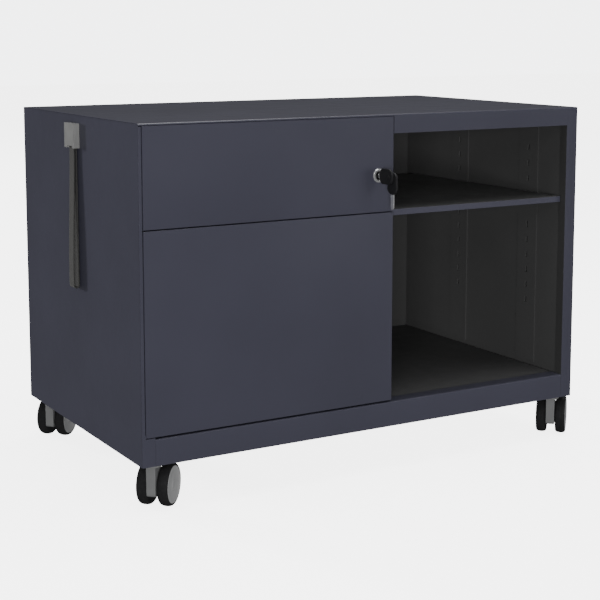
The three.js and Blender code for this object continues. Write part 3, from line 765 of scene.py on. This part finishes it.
def strap_section(width, thick):
    """Flat band with rounded selvedges: (across, out) points, in millimetres."""
    half_w, half_t = width / 2, thick / 2
    selvedge, steps, shoulder = 0.55, 12, 0.3 * half_t
    flat = width - 2 * selvedge
    upper = [(-half_w + selvedge + flat * i / steps, half_t) for i in range(steps + 1)]
    lower = [(a, -b) for a, b in reversed(upper)]
    left = [(-half_w, -shoulder), (-half_w, shoulder)]
    right = [(half_w, shoulder), (half_w, -shoulder)]
    return left + upper + right + lower


def strap():
    """Webbing loop that hangs on the clip's pin."""
    lo, hi = low("pull_strap"), high("pull_strap")
    pin = Vector(JOINTS["strap_swing"]["pos_m"])
    top_radius, fold, fold_inset, side_gap = 1.8, 4.0, 4.8, 0.2
    fold_centre = Vector((lo.x + fold_inset * MM, pin.y, lo.z + fold_inset * MM))
    drop = (pin.z - fold_centre.z) / MM
    line = strap_line(pin.x / MM, fold_centre.x / MM, drop, top_radius, fold)
    section = strap_section((hi.y - lo.y) / MM - side_gap, 1.3)
    bm = bmesh.new()
    rings = []
    for i, (x, z) in enumerate(line):
        before, after = line[i - 1], line[(i + 1) % len(line)]
        tangent = Vector((after[0] - before[0], 0, after[1] - before[1])).normalized()
        normal = Vector((tangent.z, 0, -tangent.x))
        centre = Vector((x * MM, pin.y, z * MM + fold_centre.z))
        rings.append([bm.verts.new(centre + (Y * a + normal * b) * MM) for a, b in section])
    for a, b in zip(rings, rings[1:] + rings[:1]):
        for k in range(len(section)):
            following = (k + 1) % len(section)
            bm.faces.new((a[k], a[following], b[following], b[k]))
    piece = new_piece("strap_webbing", bm, "strap", "webbing", 60)
    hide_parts("pull_strap")


strap()


# ---------------------------------------------------------------- floor and light

FLOOR_SIZE = 14      # half of the floor's side, m
FLOOR_GLOW = 4.4     # light the floor sends out
BACKDROP = 5.0       # strength of the surround, as the camera sees it
REFLECTED = 0.09     # strength of the surround in reflections
FILL = 0.42          # strength of the surround as light

# Name, place, aim, width, height, power, seen in reflections.
SOFTBOXES = (
    ("front_light", (-2.0, -3.35, 0.5), (0.1, 0, 0.25), 1.4, 1.0, 126, False),
    ("right_light", (1.9, -2.4, 0.65), (0.25, 0.1, 0.28), 1.4, 1.1, 25, False),
    ("spark_light", (-1.6, -1.9, 1.4), (0, -0.2, 0.45), 0.6, 0.6, 4, True),
    ("top_light", (0.2, -0.2, 2.8), (0, 0, 0.4), 2.4, 1.4, 66, True),
    ("back_left_light", (-2.8, 6.2, 0.95), (-0.42, 0, 0.33), 0.6, 1.0, 750, False),
)


def make_floor():
    """Pale floor, bright enough to fade into the background."""
    bm = bmesh.new()
    bmesh.ops.create_grid(bm, x_segments=1, y_segments=1, size=FLOOR_SIZE)
    mesh = bpy.data.meshes.new("floor")
    bm.to_mesh(mesh)
    bm.free()
    floor = bpy.data.objects.new("floor", mesh)
    bpy.context.collection.objects.link(floor)
    floor.visible_diffuse = False
    floor.visible_glossy = False
    n = Nodes("floor")
    tone = n.spread(n.noise(2, 3), 0, 1)
    base = n.blend_colour(tone, (0.86, 0.86, 0.86), (0.88, 0.88, 0.88))
    n.link(base, n.shader.inputs["Base Color"])
    n.shader.inputs["Roughness"].default_value = 0.9
    n.shader.inputs["Specular IOR Level"].default_value = 0.1
    n.shader.inputs["Emission Color"].default_value = (1, 1, 1, 1)
    n.shader.inputs["Emission Strength"].default_value = FLOOR_GLOW
    floor.data.materials.append(n.material)


def softbox(name, place, aim, width, height, power, in_reflections):
    """Rectangular area light at place, turned towards aim."""
    data = bpy.data.lights.new(name, "AREA")
    data.shape = "RECTANGLE"
    data.size = width
    data.size_y = height
    data.energy = power
    lamp = bpy.data.objects.new(name, data)
    bpy.context.collection.objects.link(lamp)
    lamp.location = place
    lamp.visible_glossy = in_reflections
    lamp.rotation_euler = (Vector(place) - Vector(aim)).to_track_quat("Z", "Y").to_euler()


def make_world():
    """White backdrop, soft fill, and a dimmer surround for what polished surfaces reflect."""
    world = bpy.data.worlds.new("studio")
    bpy.context.scene.world = world
    world.use_nodes = True
    tree = world.node_tree
    background = tree.nodes["Background"]
    background.inputs["Color"].default_value = (0.98, 0.99, 1.0, 1)
    rays = tree.nodes.new("ShaderNodeLightPath")
    seen = tree.nodes.new("ShaderNodeMix")
    seen.inputs["A"].default_value = FILL
    seen.inputs["B"].default_value = BACKDROP
    tree.links.new(rays.outputs["Is Camera Ray"], seen.inputs["Factor"])
    mirrored = tree.nodes.new("ShaderNodeMix")
    mirrored.inputs["B"].default_value = REFLECTED
    tree.links.new(rays.outputs["Is Glossy Ray"], mirrored.inputs["Factor"])
    tree.links.new(seen.outputs["Result"], mirrored.inputs["A"])
    tree.links.new(mirrored.outputs["Result"], background.inputs["Strength"])


make_floor()
make_world()
for settings in SOFTBOXES:
    softbox(*settings)
